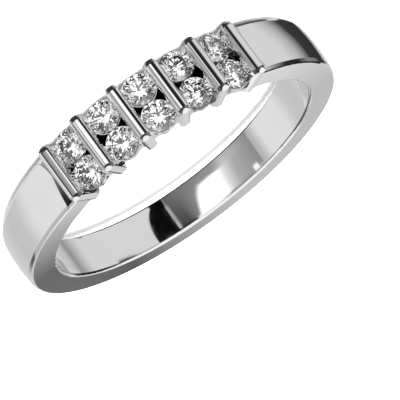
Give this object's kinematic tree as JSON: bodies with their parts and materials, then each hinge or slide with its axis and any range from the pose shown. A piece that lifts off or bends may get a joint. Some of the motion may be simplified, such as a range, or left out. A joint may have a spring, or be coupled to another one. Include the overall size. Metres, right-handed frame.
{
  "type": "wedding ring",
  "caption": "Tapering polished band whose front is a ladder of rounded bars with two rows of round brilliants held between them.",
  "frame": {"origin": "on the axis of the finger hole, at the middle of the band's width", "axes": "+Z along the axis of the finger hole; the stones face -Y; +X is to one side, the band being the same on both"},
  "size_m": [0.021, 0.0214, 0.0038],
  "materials": {
    "metal": "polished white gold",
    "stone": "faceted clear stone"
  },
  "bodies": {
    "root": {"band": "metal", "stone_upper_1": "stone", "stone_upper_2": "stone", "stone_upper_3": "stone", "stone_upper_4": "stone", "stone_upper_5": "stone", "stone_lower_1": "stone", "stone_lower_2": "stone", "stone_lower_3": "stone", "stone_lower_4": "stone", "stone_lower_5": "stone"}
  },
  "joints": []
}
